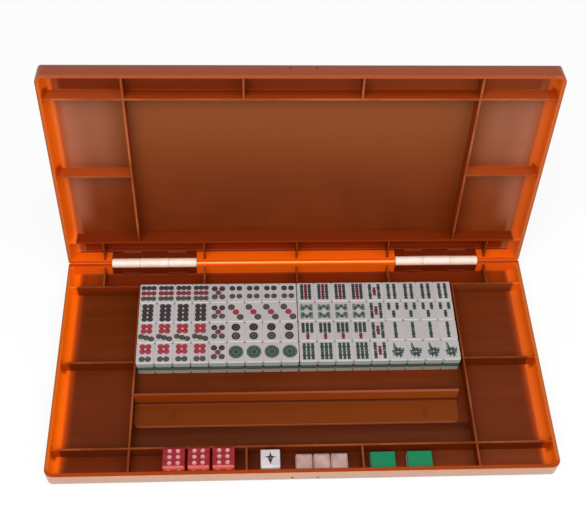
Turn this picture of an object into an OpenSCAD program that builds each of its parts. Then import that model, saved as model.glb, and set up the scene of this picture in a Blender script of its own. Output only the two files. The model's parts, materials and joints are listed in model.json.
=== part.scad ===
// Travel mahjong case: two shallow moulded trays on a pair of clip-in hinges, opened to show a
// full set of tiles in two layers, a tile rack, dice and small loose pieces.
// X runs along the hinge, Y from the front wall to the hinge, Z up from the table.
// The origin is the middle of the base tray's underside.

/* [Case] */
// Length of the case along the hinge
case_w = 400; // [396:1:460]
// Depth of each tray from its front wall to the hinge
tray_d = 200; // [198:1:240]
// Outer height of each tray
tray_h = 15; // [14:0.5:20]
// Thickness of the outer walls
wall_t = 3; // [2.4:0.1:3.4]
// Thickness of the tray floor
floor_t = 2.5; // [2:0.1:3]
// Radius of the front corners seen from above
corner_r = 7; // [5:0.5:9]
// Radius of the corners at the hinge seen from above
hinge_corner_r = 1; // [0.5:0.1:2]
// Radius round the outer foot of the walls
foot_r = 3; // [1:0.5:3.5]
// Radius of the cove at the inner foot of the left and right walls
side_cove_r = 6; // [3:0.5:8]
// Radius of the cove at the inner foot of the front and rear walls
end_cove_r = 1.5; // [1:0.1:1.6]
// Gap between the two rims when the case is shut
rim_gap = 0.1; // [0.1:0.1:0.6]
// How far the lid stands open here, counted from shut
lid_open = 98; // [0:1:180]

/* [Compartments] */
// Thickness of the ribs between compartments
rib_t = 1.6; // [1.4:0.1:2.2]
// How far the rib tops lie below the rim
rib_drop = 0.5; // [0.3:0.1:2]
// Distance from the front wall's outer face to the front rib's middle
front_rib = 22.8; // [22.8:0.1:26]
// Distance from the rear wall's outer face to the rear rib's middle
rear_rib = 24.7; // [24:0.1:24.8]
// Distance from the case's middle to each main divider's middle
main_divider = 136.5; // [136.5:0.1:140]
// Distance from the case's middle to each front channel divider's middle
front_divider = 45.4; // [44:0.1:46]
// Distances from the case's middle to the rear channel dividers' middles
rear_dividers = [0, 81, 168];

/* [Hinges] */
// Distance from the case's middle to each hinge's middle
hinge_x = 125.2; // [110:0.1:130]
// Length of each hinge barrel
barrel_l = 73; // [60:1:74]
// Outer radius of the hinge knuckles
knuckle_r = 4; // [3.4:0.1:4.2]
// Number of knuckles on each hinge
knuckles = 3; // [3:2:7]
// Gap between neighbouring knuckles
knuckle_gap = 0.3; // [0.2:0.1:0.8]
// Radius of the steel pin
pin_r = 1.5; // [1:0.1:1.8]
// Radial clearance between the pin and the knuckles that turn on it
running_gap = 0.05; // [0.03:0.01:0.1]
// Radial clearance between the pin and the knuckles that hold it
holding_gap = 0.01; // [0.01:0.01:0.02]
// Thickness of a hinge leaf, let into the rear wall
leaf_t = 1.4; // [1.2:0.1:1.6]
// Height of a leaf's lower edge above the tray's underside
leaf_low = 3; // [2.6:0.1:3.4]
// Distance of each leaf tab's middle from the hinge's middle
tab_x = 19.5; // [16:0.5:24]
// Width of a leaf tab
tab_w = 16; // [10:1:18]
// Thickness of a leaf tab
tab_t = 0.9; // [0.8:0.1:1.3]
// Height of the barb that grips behind the wall
barb_h = 1.6; // [1.6:0.1:3]
// Thickness of the barb
barb_t = 1; // [0.8:0.1:1.2]
// Clearance round a leaf and its tabs
clip_gap = 0.15; // [0.1:0.05:0.3]

/* [Front catch dimples] */
// Distance from the case's middle to each dimple
dimple_x = 10; // [8:1:20]
// Height of a dimple above the tray's underside
dimple_z = 5.5; // [5:0.5:9]
// Radius of a dimple
dimple_r = 1.2; // [0.8:0.1:1.6]
// Depth of a dimple
dimple_depth = 0.9; // [0.5:0.1:1.2]

/* [Tiles] */
// Width of a tile
tile_w = 14.8; // [14.5:0.1:14.8]
// Length of a tile
tile_l = 19.65; // [19.3:0.05:19.75]
// Thickness of a tile's white face layer
face_t = 6; // [5:0.1:6.2]
// Thickness of a tile's green back layer
back_t = 2.5; // [2:0.1:2.6]
// Radius of a tile's upright corners
tile_corner_r = 1.6; // [1:0.1:2]
// Radius round a tile's face and back
tile_edge_r = 0.9; // [0.5:0.1:1.2]
// Gap between neighbouring tiles
tile_gap = 0.1; // [0.05:0.05:0.1]
// How far left of the case's middle the two blocks of tiles meet
tiles_left = 1.1; // [0.8:0.1:1.1]
// Gap between the two blocks of tiles
block_gap = 0.6; // [0.4:0.1:0.6]
// Columns of tiles in one block
tile_cols = 9; // [7:1:9]
// Rows of tiles in one block
tile_rows = 4; // [3:1:4]

/* [Rack] */
// Length of the tile rack
rack_l = 263; // [200:1:268]
// Depth of the rack's foot plate
rack_d = 22.8; // [20:0.1:24]
// Thickness of the rack's foot plate
rack_foot_t = 2; // [1.6:0.1:2.6]
// Height of the rack's upright
rack_h = 15.6; // [14:0.1:18]
// Thickness of the rack's upright
rack_back_t = 2; // [1.6:0.1:3.2]
// Distance from the front wall's outer face to the rack's front edge
rack_front = 46; // [44:1:48]
// Radius of the rack's front corners
rack_corner_r = 4; // [2:0.5:6]
// Fillet between the foot plate and the upright
rack_fillet_r = 2.5; // [1:0.5:3]

/* [Loose pieces] */
// Edge of a die
die_s = 17.6; // [15:0.1:17.8]
// Radius of a die's edges
die_edge_r = 2; // [1.8:0.1:3]
// Radius of the ball that cuts a pip
pip_ball_r = 2.6; // [1.8:0.1:2.6]
// Depth of a pip
pip_depth = 0.7; // [0.4:0.1:1]
// Distances of the six's outer pips from the side's middle
six_pips = [3.2, 5];
// Distance of the other counts' outer pips from the side's middle, both ways
pip_spread = 4; // [3.6:0.1:4.4]
// Middle of the left die and the distance to the next one
die_row = [-101.3, 19.05];
// Edge of the wind cube
cube_s = 15.2; // [14:0.1:16]
// Radius of the wind cube's edges
cube_edge_r = 1.2; // [1.2:0.1:2]
// Middle of the wind cube
cube_x = -27; // [-34:0.5:-20]
// Size of a frosted blank: width, depth, height
blank_size = [13.5, 14, 10];
// Radius of a frosted blank's edges
blank_edge_r = 3; // [1.5:0.1:3.5]
// Middle of the left blank and the distance to the next one
blank_row = [-0.6, 13.8];
// Middles of the two spare tiles
spare_x = [61.3, 90.5];
// Gap between the loose pieces and the front wall
loose_gap = 0.6; // [0.5:0.1:1]

/* [Hidden] */
$fn = 48;
sides = [-1, 1];
over = 1;
inside_w = case_w - 2 * wall_t;
front_y = -tray_d / 2;
rear_y = tray_d / 2;
front_rib_y = front_y + front_rib;
rear_rib_y = rear_y - rear_rib;
side_rib_y = 0;
rib_top = tray_h - rib_drop;
axis_y = rear_y + rim_gap;
axis_z = tray_h + rim_gap / 2;
knuckle_l = (barrel_l - (knuckles - 1) * knuckle_gap) / knuckles;
window_end_gap = 0.5;
window_foot_gap = 0.4;
window_z = axis_z - knuckle_r - window_foot_gap;
leaf_top = window_z - clip_gap;
leaf_web_top = axis_z - knuckle_r / 2;
tab_z = leaf_low + 1;
tile_t = face_t + back_t;
col_pitch = tile_w + tile_gap;
row_pitch = tile_l + tile_gap;
tiles_rear_gap = 0.2;
tiles_mid_y = rear_rib_y - rib_t / 2 - tiles_rear_gap - tile_rows * row_pitch / 2;
lower_z = floor_t;
upper_z = lower_z + tile_t;
loose_front_y = front_y + wall_t + loose_gap;
rack_y = front_y + rack_front;
rack_x = -main_divider + rib_t / 2 + 0.3;

// Flat shapes

module rounded_rect(width, length, radius) {
    square([width - 2 * radius, length], center = true);
    square([width, length - 2 * radius], center = true);
    for (sx = sides, sy = sides)
        translate([sx * (width / 2 - radius), sy * (length / 2 - radius)])
            circle(radius);
}

// A rectangle that stands on the X axis with its two lower corners rounded
module round_footed(width, height, radius) {
    translate([-width / 2, radius])
        square([width, height - radius]);
    translate([radius - width / 2, 0])
        square([width - 2 * radius, height]);
    for (s = sides)
        translate([s * (width / 2 - radius), radius])
            circle(radius);
}

// Solids of rounded edges, each the part that three crossing prisms share

module along_x(length) {
    rotate([90, 0, 90])
        linear_extrude(length, center = true)
            children();
}

module along_y(length) {
    rotate([90, 0, 0])
        linear_extrude(length, center = true)
            children();
}

// Stands on z = 0 with its foot edges rounded and its top edges sharp. Its plan is drawn by its child
module footed_block(size, edge_r) {
    intersection() {
        linear_extrude(size[2])
            children();
        along_y(size[1] + 2 * over)
            round_footed(size[0], size[2], edge_r);
        along_x(size[0] + 2 * over)
            round_footed(size[1], size[2], edge_r);
    }
}

// Stands on z = 0 with every edge rounded
module rounded_block(size, edge_r) {
    translate([0, 0, size[2] / 2])
        intersection() {
            linear_extrude(size[2] + 2 * over, center = true)
                rounded_rect(size[0], size[1], edge_r);
            along_y(size[1] + 2 * over)
                rounded_rect(size[0], size[2], edge_r);
            along_x(size[0] + 2 * over)
                rounded_rect(size[1], size[2], edge_r);
        }
}

// Where things stand

// Puts a shape drawn on the base tray at the same place on the opened lid
module on_lid() {
    translate([0, axis_y, axis_z])
        rotate([-lid_open, 0, 0])
            translate([0, -axis_y, axis_z])
                mirror([0, 0, 1])
                    children();
}

module on_front_wall(x) {
    translate([x, loose_front_y, floor_t])
        children();
}

// Tray moulding

module rib(x0, x1, y0, y1) {
    translate([x0, y0, floor_t - over])
        cube([x1 - x0, y1 - y0, rib_top - floor_t + over]);
}

// A rib along Y whose middle is at x
module divider(x, y0, y1) {
    rib(x - rib_t / 2, x + rib_t / 2, y0, y1);
}

// A rib along X whose middle is at y
module cross_rib(y, x0, x1) {
    rib(x0, x1, y - rib_t / 2, y + rib_t / 2);
}

module ribs() {
    inner_x = inside_w / 2 + over;
    inner_front = front_y + wall_t - over;
    inner_rear = rear_y - wall_t + over;
    cross_rib(front_rib_y, -inner_x, inner_x);
    cross_rib(rear_rib_y, -inner_x, inner_x);
    for (s = sides) {
        divider(s * main_divider, inner_front, rear_rib_y);
        divider(s * front_divider, inner_front, front_rib_y);
        cross_rib(side_rib_y, min(s * inner_x, s * main_divider), max(s * inner_x, s * main_divider));
    }
    divider(rear_dividers[0], rear_rib_y, inner_rear);
    for (s = sides, i = [1, 2])
        divider(s * rear_dividers[i], rear_rib_y, inner_rear);
}

// Fills the corner at the origin with a cove that runs both ways along X
module cove(length, radius) {
    bite = 0.5;
    along_x(length)
        difference() {
            translate([-bite, -bite])
                square(radius + bite);
            translate([radius, radius])
                circle(radius);
        }
}

module coves() {
    for (turn = [0, 180])
        rotate([0, 0, turn]) {
            translate([0, front_y + wall_t, floor_t])
                cove(inside_w + 1, end_cove_r);
            translate([wall_t - case_w / 2, 0, floor_t])
                rotate([0, 0, -90])
                    cove(tray_d - 2 * wall_t + 1, side_cove_r);
        }
}

// Wide corners in front and tight ones at the hinge
module tray_plan() {
    rounded_rect(case_w, tray_d, corner_r);
    translate([0, tray_d / 4])
        rounded_rect(case_w, tray_d / 2, hinge_corner_r);
}

module tray_hollow() {
    translate([0, 0, floor_t])
        linear_extrude(tray_h)
            rounded_rect(inside_w, tray_d - 2 * wall_t, corner_r - wall_t);
}

// The bay in the rear wall for one hinge: an open window for the knuckles, a recess for the leaf
// and two slots for its tabs
module hinge_bay(x) {
    window_w = barrel_l + 2 * window_end_gap;
    recess_w = barrel_l + 2 * clip_gap;
    slot_w = tab_w + 2 * clip_gap;
    translate([x - window_w / 2, rear_y - wall_t - over, window_z])
        cube([window_w, wall_t + 2 * over, tray_h]);
    translate([x - recess_w / 2, rear_y - leaf_t, leaf_low - clip_gap])
        cube([recess_w, leaf_t + over, tray_h]);
    for (s = sides)
        translate([x + s * tab_x - slot_w / 2, rear_y - wall_t - over, tab_z - clip_gap])
            cube([slot_w, wall_t + over, tab_t + 2 * clip_gap]);
}

module catch_dimples() {
    for (s = sides)
        translate([s * dimple_x, front_y + dimple_depth, dimple_z])
            rotate([90, 0, 0])
                cylinder(r = dimple_r, h = dimple_depth + over);
}

module tray() {
    difference() {
        union() {
            difference() {
                footed_block([case_w, tray_d, tray_h], foot_r)
                    tray_plan();
                tray_hollow();
            }
            ribs();
            coves();
        }
        for (s = sides)
            hinge_bay(s * hinge_x);
        catch_dimples();
    }
}

// Hinges

// Start of knuckle i along the barrel, counted from the barrel's left end
function knuckle_start(i) = i * (knuckle_l + knuckle_gap) - barrel_l / 2;

module knuckle(i, bore_r) {
    translate([knuckle_start(i), axis_y, axis_z])
        rotate([0, 90, 0])
            difference() {
                cylinder(r = knuckle_r, h = knuckle_l);
                translate([0, 0, -over])
                    cylinder(r = bore_r, h = knuckle_l + 2 * over);
            }
}

// The strip that carries knuckle i up from the leaf, bored for the pin
module knuckle_web(i, bore_r) {
    difference() {
        translate([knuckle_start(i), rear_y - leaf_t, leaf_top - over])
            cube([knuckle_l, leaf_t, leaf_web_top - leaf_top + over]);
        translate([knuckle_start(i) - over, axis_y, axis_z])
            rotate([0, 90, 0])
                cylinder(r = bore_r, h = knuckle_l + 2 * over);
    }
}

// One tab passes through the wall's slot and its barb grips the wall's inner face
module leaf_tab() {
    inner_y = rear_y - wall_t - clip_gap;
    translate([-tab_w / 2, inner_y - barb_t, tab_z])
        cube([tab_w, wall_t + clip_gap + barb_t - leaf_t / 2, tab_t]);
    translate([-tab_w / 2, inner_y - barb_t, tab_z])
        cube([tab_w, barb_t, barb_h]);
}

// A leaf as it sits on the base tray, with every second knuckle from first on
module leaf(first, bore_r) {
    translate([-barrel_l / 2, rear_y - leaf_t, leaf_low])
        cube([barrel_l, leaf_t, leaf_top - leaf_low]);
    for (i = [first : 2 : knuckles - 1]) {
        knuckle(i, bore_r);
        knuckle_web(i, bore_r);
    }
    for (s = sides)
        translate([s * tab_x, 0, 0])
            leaf_tab();
}

module base_leaf(side) {
    color("ivory")
        translate([side * hinge_x, 0, 0])
            leaf(0, pin_r + holding_gap);
}

module lid_leaf(side) {
    color("ivory")
        on_lid()
            translate([side * hinge_x, 0, 0])
                leaf(1, pin_r + running_gap);
}

module hinge_pin(side) {
    color("silver")
        translate([side * hinge_x - barrel_l / 2, axis_y, axis_z])
            rotate([0, 90, 0])
                cylinder(r = pin_r, h = barrel_l);
}

// Tiles

// The layer of a tile that stands on z = 0 with its own outer side down
module tile_layer(thickness) {
    footed_block([tile_w, tile_l, thickness], tile_edge_r)
        rounded_rect(tile_w, tile_l, tile_corner_r);
}

// White layer of a tile that lies on z = 0 with its face up
module face_up_layer() {
    translate([0, 0, tile_t])
        mirror([0, 0, 1])
            tile_layer(face_t);
}

// Green layer of a tile that lies on z = 0 with its face down
module back_up_layer() {
    translate([0, 0, tile_t])
        mirror([0, 0, 1])
            tile_layer(back_t);
}

// Lays a block of tiles on the left (side -1) or the right (side 1) of the case's middle
module tile_block(side, z) {
    for (col = [0 : tile_cols - 1], row = [0 : tile_rows - 1])
        translate([
            side * (block_gap / 2 + (col + 0.5) * col_pitch) - tiles_left,
            tiles_mid_y + (row - (tile_rows - 1) / 2) * row_pitch,
            z
        ])
            children();
}

// Rack: a foot plate and an upright back, filleted where they meet

module rack_profile() {
    upright_y = rack_d - rack_back_t;
    square([rack_d, rack_foot_t]);
    translate([upright_y, 0])
        square([rack_back_t, rack_h]);
    translate([upright_y - rack_fillet_r, rack_foot_t])
        difference() {
            square(rack_fillet_r);
            translate([0, rack_fillet_r])
                circle(rack_fillet_r);
        }
}

module tile_rack() {
    color("saddlebrown")
        translate([rack_x + rack_l / 2, rack_y, floor_t])
            intersection() {
                along_x(rack_l)
                    rack_profile();
                linear_extrude(rack_h)
                    translate([0, rack_d / 2 + rack_corner_r])
                        rounded_rect(rack_l, rack_d + 2 * rack_corner_r, rack_corner_r);
            }
}

// Loose pieces

// Places of the pips for each count, as shares of their distance from the side's middle
pip_places = [
    [[0, 0]],
    [[-1, -1], [1, 1]],
    [[-1, -1], [0, 0], [1, 1]],
    [[-1, -1], [-1, 1], [1, -1], [1, 1]],
    [[-1, -1], [-1, 1], [0, 0], [1, -1], [1, 1]],
    [[-1, -1], [-1, 0], [-1, 1], [1, -1], [1, 0], [1, 1]]
];
// Turn from the top to each count's side: six lies on top and five in front
pip_turns = [[180, 0, 0], [-90, 0, 0], [0, 90, 0], [0, -90, 0], [90, 0, 0], [0, 0, 0]];

function pip_reach(count) = count == 6 ? six_pips : [pip_spread, pip_spread];

module pips() {
    for (count = [1 : 6])
        rotate(pip_turns[count - 1])
            for (place = pip_places[count - 1])
                translate([
                    place[0] * pip_reach(count)[0], place[1] * pip_reach(count)[1],
                    die_s / 2 + pip_ball_r - pip_depth
                ])
                    sphere(pip_ball_r);
}

module die(number) {
    color("crimson")
        on_front_wall(die_row[0] + number * die_row[1])
            translate([0, die_s / 2, 0])
                difference() {
                    rounded_block([die_s, die_s, die_s], die_edge_r);
                    translate([0, 0, die_s / 2])
                        pips();
                }
}

module blank(number) {
    color("mistyrose")
        on_front_wall(blank_row[0] + number * blank_row[1])
            translate([0, blank_size[1] / 2, 0])
                rounded_block(blank_size, blank_edge_r);
}

// Stands a spare tile's layer lengthwise along the front wall, face down
module spare_tile(number) {
    on_front_wall(spare_x[number])
        translate([0, tile_w / 2, 0])
            rotate([0, 0, 90])
                children();
}

// The case's pieces

module base_tray() { color("brown") tray(); }
module lid_tray() { color("brown") on_lid() tray(); }
module left_hinge_base_leaf() { base_leaf(-1); }
module left_hinge_lid_leaf() { lid_leaf(-1); }
module left_hinge_pin() { hinge_pin(-1); }
module right_hinge_base_leaf() { base_leaf(1); }
module right_hinge_lid_leaf() { lid_leaf(1); }
module right_hinge_pin() { hinge_pin(1); }
module dot_tile_faces() { color("white") tile_block(-1, upper_z) face_up_layer(); }
module dot_tile_backs() { color("seagreen") tile_block(-1, upper_z) tile_layer(back_t); }
module bamboo_tile_faces() { color("white") tile_block(1, upper_z) face_up_layer(); }
module bamboo_tile_backs() { color("seagreen") tile_block(1, upper_z) tile_layer(back_t); }
module lower_left_tile_faces() { color("white") tile_block(-1, lower_z) tile_layer(face_t); }
module lower_left_tile_backs() { color("seagreen") tile_block(-1, lower_z) back_up_layer(); }
module lower_right_tile_faces() { color("white") tile_block(1, lower_z) tile_layer(face_t); }
module lower_right_tile_backs() { color("seagreen") tile_block(1, lower_z) back_up_layer(); }
module left_die() { die(0); }
module middle_die() { die(1); }
module right_die() { die(2); }
module wind_cube() {
    color("white")
        on_front_wall(cube_x)
            translate([0, cube_s / 2, 0])
                rounded_block([cube_s, cube_s, cube_s], cube_edge_r);
}
module left_blank() { blank(0); }
module middle_blank() { blank(1); }
module right_blank() { blank(2); }
module left_spare_tile_face() { color("white") spare_tile(0) tile_layer(face_t); }
module left_spare_tile_back() { color("seagreen") spare_tile(0) back_up_layer(); }
module right_spare_tile_face() { color("white") spare_tile(1) tile_layer(face_t); }
module right_spare_tile_back() { color("seagreen") spare_tile(1) back_up_layer(); }

base_tray();
lid_tray();
left_hinge_base_leaf();
left_hinge_lid_leaf();
left_hinge_pin();
right_hinge_base_leaf();
right_hinge_lid_leaf();
right_hinge_pin();
dot_tile_faces();
dot_tile_backs();
bamboo_tile_faces();
bamboo_tile_backs();
lower_left_tile_faces();
lower_left_tile_backs();
lower_right_tile_faces();
lower_right_tile_backs();
tile_rack();
left_die();
middle_die();
right_die();
wind_cube();
left_blank();
middle_blank();
right_blank();
left_spare_tile_face();
left_spare_tile_back();
right_spare_tile_face();
right_spare_tile_back();
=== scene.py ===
"""Looks of an opened mahjong case: amber-brown moulded trays on white hinges, with tiles, rack, dice
and small pieces. Lengths named here are in millimetres in the case's own frame, and MM turns them into
metres where a mesh or a lamp takes them."""

import json
import math

import bmesh
import bpy
from mathutils import Matrix, Vector


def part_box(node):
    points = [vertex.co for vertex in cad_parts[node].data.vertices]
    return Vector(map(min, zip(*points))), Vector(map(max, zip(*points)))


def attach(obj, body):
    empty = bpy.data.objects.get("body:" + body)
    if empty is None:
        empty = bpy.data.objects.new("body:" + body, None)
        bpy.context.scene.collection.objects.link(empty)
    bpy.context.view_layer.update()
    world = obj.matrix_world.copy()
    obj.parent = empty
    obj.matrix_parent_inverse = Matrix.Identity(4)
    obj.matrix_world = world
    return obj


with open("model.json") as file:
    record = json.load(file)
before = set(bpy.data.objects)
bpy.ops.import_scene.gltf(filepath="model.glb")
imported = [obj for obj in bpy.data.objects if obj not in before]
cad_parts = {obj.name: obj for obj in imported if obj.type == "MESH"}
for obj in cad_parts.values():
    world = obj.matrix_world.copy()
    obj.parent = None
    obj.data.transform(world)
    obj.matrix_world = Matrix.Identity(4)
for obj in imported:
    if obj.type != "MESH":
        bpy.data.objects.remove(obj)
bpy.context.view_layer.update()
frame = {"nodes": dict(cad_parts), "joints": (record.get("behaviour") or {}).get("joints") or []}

MM = 0.001


# Sizes read from the frame

def span(node):
    """Lowest and highest corner of a node, in millimetres."""
    low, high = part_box(node)
    return low / MM, high / MM


_, tray_high = span("base_tray")
HALF_W = tray_high.x
HALF_D = tray_high.y
TRAY_H = tray_high.z
lid_joint = next(j for j in frame["joints"] if j["name"] == "lid_hinge")
AXIS_Y, AXIS_Z = (v / MM for v in lid_joint["pos_m"][1:])
LID_OPEN = -lid_joint["range_deg"][0]
HINGE_X = 125.2
HINGE_L = 73.0
HINGE_INNER = HINGE_X - HINGE_L / 2
HINGE_OUTER = HINGE_X + HINGE_L / 2
WALL = 3.0
FLOOR = 2.5
CORNER_R = 7.0
RIB_TOP = TRAY_H - 0.5
MAIN_DIVIDER = 136.5
FRONT_RIB = -77.2
RACK_FRONT = -54.0
LOWER_FACE_TOP = 8.4
TILE_ROWS = 4
TILE_COLS = 9
FIVES_COLUMN = 4
TILE_GAP = 0.1
block_low, block_high = span("dot_tile_faces")
TILE_TOP = block_high.z
TILE_REAR = block_high.y + TILE_GAP / 2
TILE_PITCH = Vector((
    (block_high.x - block_low.x + TILE_GAP) / TILE_COLS, (block_high.y - block_low.y + TILE_GAP) / TILE_ROWS
))


# Colours, as they look on screen

def shade(red, green, blue):
    """A screen colour from 0 to 255 as the linear colour that a shader takes."""
    def linear(v):
        v /= 255
        return v / 12.92 if v <= 0.04045 else ((v + 0.055) / 1.055) ** 2.4
    return (linear(red), linear(green), linear(blue), 1.0)


# Shader maths as plain expressions

class Signal:
    """One socket of a finish, so that maths on it reads as maths."""

    def __init__(self, finish, socket):
        self.finish = finish
        self.socket = socket

    def maths(self, operation, *values):
        return self.finish.node("ShaderNodeMath", {"operation": operation}, dict(enumerate(values)))

    def __add__(self, other):
        return self.maths("ADD", self, other)

    __radd__ = __add__

    def __sub__(self, other):
        return self.maths("SUBTRACT", self, other)

    def __rsub__(self, other):
        return self.maths("SUBTRACT", other, self)

    def __mul__(self, other):
        return self.maths("MULTIPLY", self, other)

    __rmul__ = __mul__

    def __truediv__(self, other):
        return self.maths("DIVIDE", self, other)

    def __abs__(self):
        return self.maths("ABSOLUTE", self)

    def most(self, other):
        return self.maths("MAXIMUM", self, other)

    def least(self, other):
        return self.maths("MINIMUM", self, other)

    def floor(self):
        return self.maths("FLOOR", self)

    def root(self):
        return self.maths("SQRT", self)

    def rise(self, start, end):
        """0 before start, 1 past end and smooth between them; start may be the larger."""
        return self.finish.node(
            "ShaderNodeMapRange",
            {"interpolation_type": "SMOOTHSTEP"},
            {"Value": self, "From Min": start, "From Max": end},
        )

    def band(self, middle, width, soft):
        """1 within half a width of the middle, fading over soft."""
        return abs(self - middle).rise(width / 2 + soft, width / 2)


class Finish:
    """A material built from nodes. Coordinates are in millimetres."""

    def __init__(self, name):
        self.material = bpy.data.materials.new(name)
        self.material.use_nodes = True
        self.tree = self.material.node_tree
        self.tree.nodes.clear()

    def node(self, kind, settings=None, sockets=None, out=0):
        """Adds a node, sets it up, feeds its sockets and returns one of its outputs."""
        made = self.tree.nodes.new(kind)
        for key, value in (settings or {}).items():
            if key == "stops":
                ramp = made.color_ramp
                while len(ramp.elements) < len(value):
                    ramp.elements.new(0.5)
                for element, (at, colour) in zip(ramp.elements, value):
                    element.position = at
                    element.color = colour
            else:
                setattr(made, key, value)
        for key, value in (sockets or {}).items():
            if isinstance(value, Signal):
                self.tree.links.new(value.socket, made.inputs[key])
            else:
                made.inputs[key].default_value = value
        return Signal(self, made.outputs[out]) if made.outputs else None

    def place(self, turn=0.0, shift=(0.0, 0.0, 0.0)):
        """The object's own coordinates in millimetres, turned by degrees about X and then shifted."""
        return self.node(
            "ShaderNodeMapping",
            {},
            {
                "Vector": self.node("ShaderNodeTexCoord", out="Object"),
                "Scale": (1 / MM, 1 / MM, 1 / MM),
                "Rotation": (math.radians(turn), 0.0, 0.0),
                "Location": shift,
            },
        )

    def parts(self, vector):
        return [self.node("ShaderNodeSeparateXYZ", {}, {0: vector}, out=i) for i in range(3)]

    def noise(self, place, size, detail=2.0, rough=0.5, stretch=(1.0, 1.0, 1.0)):
        """Noise from 0 to 1 whose lumps are about size millimetres across."""
        spread = self.node("ShaderNodeMapping", {}, {"Vector": place, "Scale": stretch})
        return self.node(
            "ShaderNodeTexNoise",
            {},
            {"Vector": spread, "Scale": 1.0 / size, "Detail": detail, "Roughness": rough},
        )

    def blend(self, mask, low, high):
        """The colour low where mask is 0 and high where it is 1."""
        return self.node("ShaderNodeMix", {"data_type": "RGBA"}, {0: mask, 6: low, 7: high}, out=2)

    def ramp(self, signal, stops):
        return self.node("ShaderNodeValToRGB", {"stops": stops}, {0: signal})

    def bump(self, height, depth):
        """A normal bent by height, whose full step from 0 to 1 is depth millimetres."""
        return self.node(
            "ShaderNodeBump", {}, {"Height": height, "Distance": depth * MM, "Strength": 1.0}, out="Normal"
        )

    def surface(self, colour, roughness, normal=None, **fixed):
        """Ends the tree in one plain shader. fixed holds its constant sockets by name."""
        sockets = {"Base Color": colour, "Roughness": roughness}
        if normal is not None:
            sockets["Normal"] = normal
        sockets.update({key.replace("_", " "): value for key, value in fixed.items()})
        shader = self.node("ShaderNodeBsdfPrincipled", {}, sockets)
        self.node("ShaderNodeOutputMaterial", {}, {"Surface": shader})
        return self.material


# Finishes of the case

def tray_places(f, leaning):
    """Coordinates in the tray as it is drawn on the base, whether or not it leans open."""
    if not leaning:
        place = f.place()
        return (place, *f.parts(place))
    hinge_line = Vector((0, AXIS_Y, AXIS_Z))
    turned = Matrix.Rotation(math.radians(LID_OPEN), 3, "X") @ hinge_line
    place = f.place(LID_OPEN, hinge_line - turned)
    x, y, up = f.parts(place)
    return place, x, y, 2 * AXIS_Z - up


def lid_floor(f, x, y, front, clouds):
    """Brown at the hinge and paler towards the lid's front edge, most of all in the outer cells: a painted
    sheen of reflected light, with painted glow by the walls.
    """
    side = HALF_W - abs(x)
    colour = f.blend(clouds.rise(0.35, 0.7), shade(106, 39, 6), shade(116, 46, 10))
    # Painted sheen of reflected light: paler towards the lid's front edge
    colour = f.blend(y.rise(60, -78), colour, shade(140, 73, 33))
    # Painted light in the outer cells, lighter on the right and towards the front edge
    cells = f.blend(x.rise(-1, 1), shade(122, 48, 12), shade(132, 60, 22))
    cells = f.blend(y.rise(50, -40), cells, shade(151, 91, 65))
    colour = f.blend(abs(x).rise(MAIN_DIVIDER, MAIN_DIVIDER + 25) * 0.8, colour, cells)
    # Painted glow of light through the side walls on the floor beside them
    colour = f.blend(side.rise(32, 13) * y.band(-10, 110, 30) * 0.7, colour, shade(170, 102, 76))
    # Painted light in the front channel: lighter to the right and by the front wall
    channel = f.blend(x.rise(-100, 180), shade(133, 47, 8), shade(148, 68, 28))
    channel = f.blend(front.rise(4, 9), shade(150, 66, 26), channel)
    colour = f.blend(y.band((FRONT_RIB - HALF_D) / 2, 20, 0.5), colour, channel)
    # Painted glow from the rear wall at the back of the hinge channel
    hinge_channel = f.blend(y.rise(84, 96), shade(112, 30, 0), shade(142, 42, 0))
    return f.blend(y.rise(74, 80), colour, hinge_channel)


def base_floor(f, x, y, front, clouds):
    """Darker than the lid's, dimmest before the rack in a painted shadow, and glowing a little at the front
    wall's foot in a painted glow.
    """
    colour = f.blend(clouds.rise(0.35, 0.7), shade(90, 34, 5), shade(98, 38, 8))
    # Painted light: lighter towards the right end
    colour = f.blend(x.rise(100, 170), colour, shade(98, 39, 12))
    # Painted shadow before the rack, darkest at its front edge
    shadow_before_rack = f.blend(x.rise(-140, 140), shade(78, 31, 6), shade(86, 37, 13))
    shadow_before_rack = f.blend(y.rise(RACK_FRONT - 10, RACK_FRONT - 2), shadow_before_rack, shade(68, 20, 1))
    in_bay = abs(x).rise(MAIN_DIVIDER, MAIN_DIVIDER - 1)
    colour = f.blend(y.band((FRONT_RIB + RACK_FRONT) / 2, 22, 2) * in_bay, colour, shadow_before_rack)
    # Painted light along the front channel: dimmest left of the middle, lightest at the right end
    channel = f.ramp(x / (2 * HALF_W) + 0.5, [
        (0.1, shade(98, 34, 5)), (0.45, shade(82, 28, 5)),
        (0.62, shade(86, 32, 8)), (0.95, shade(114, 51, 24)),
    ])
    colour = f.blend(y.rise(FRONT_RIB + 1, FRONT_RIB), colour, channel)
    # Painted glow of light through the front wall on the floor at its foot
    glow_near_front = f.blend(x.rise(-60, 140), shade(136, 42, 4), shade(140, 56, 18))
    colour = f.blend(front.rise(14, 6), colour, glow_near_front)
    # Painted glow from the side walls at the ends of the hinge channel
    hinge_channel = f.blend(abs(x).rise(160, 176), shade(108, 34, 4), shade(136, 50, 3))
    return f.blend(y.rise(74, 78), colour, hinge_channel)


# Tones of the left and the right side wall, in painted light: the thin upright wall in a painted glow, the
# cove's foot, the end of the glow and the floor beside it, the right wall duller in painted shade.
# TONE_PLACES says how far from the outer edge each is reached
SIDE_REACH = 16.0
TONE_PLACES = (5.5, 9.2, 10.4, 13.2)
BASE_SIDES = (
    ((225, 95, 5), (205, 85, 10), (165, 60, 10), (120, 45, 10)),
    ((200, 85, 15), (190, 85, 30), (150, 60, 15), (120, 45, 15)),
)
LID_SIDES = (
    ((205, 85, 5), (215, 105, 45), (175, 80, 30), (165, 85, 50)),
    ((190, 80, 20), (165, 80, 35), (165, 90, 50), (160, 90, 60)),
)


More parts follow.
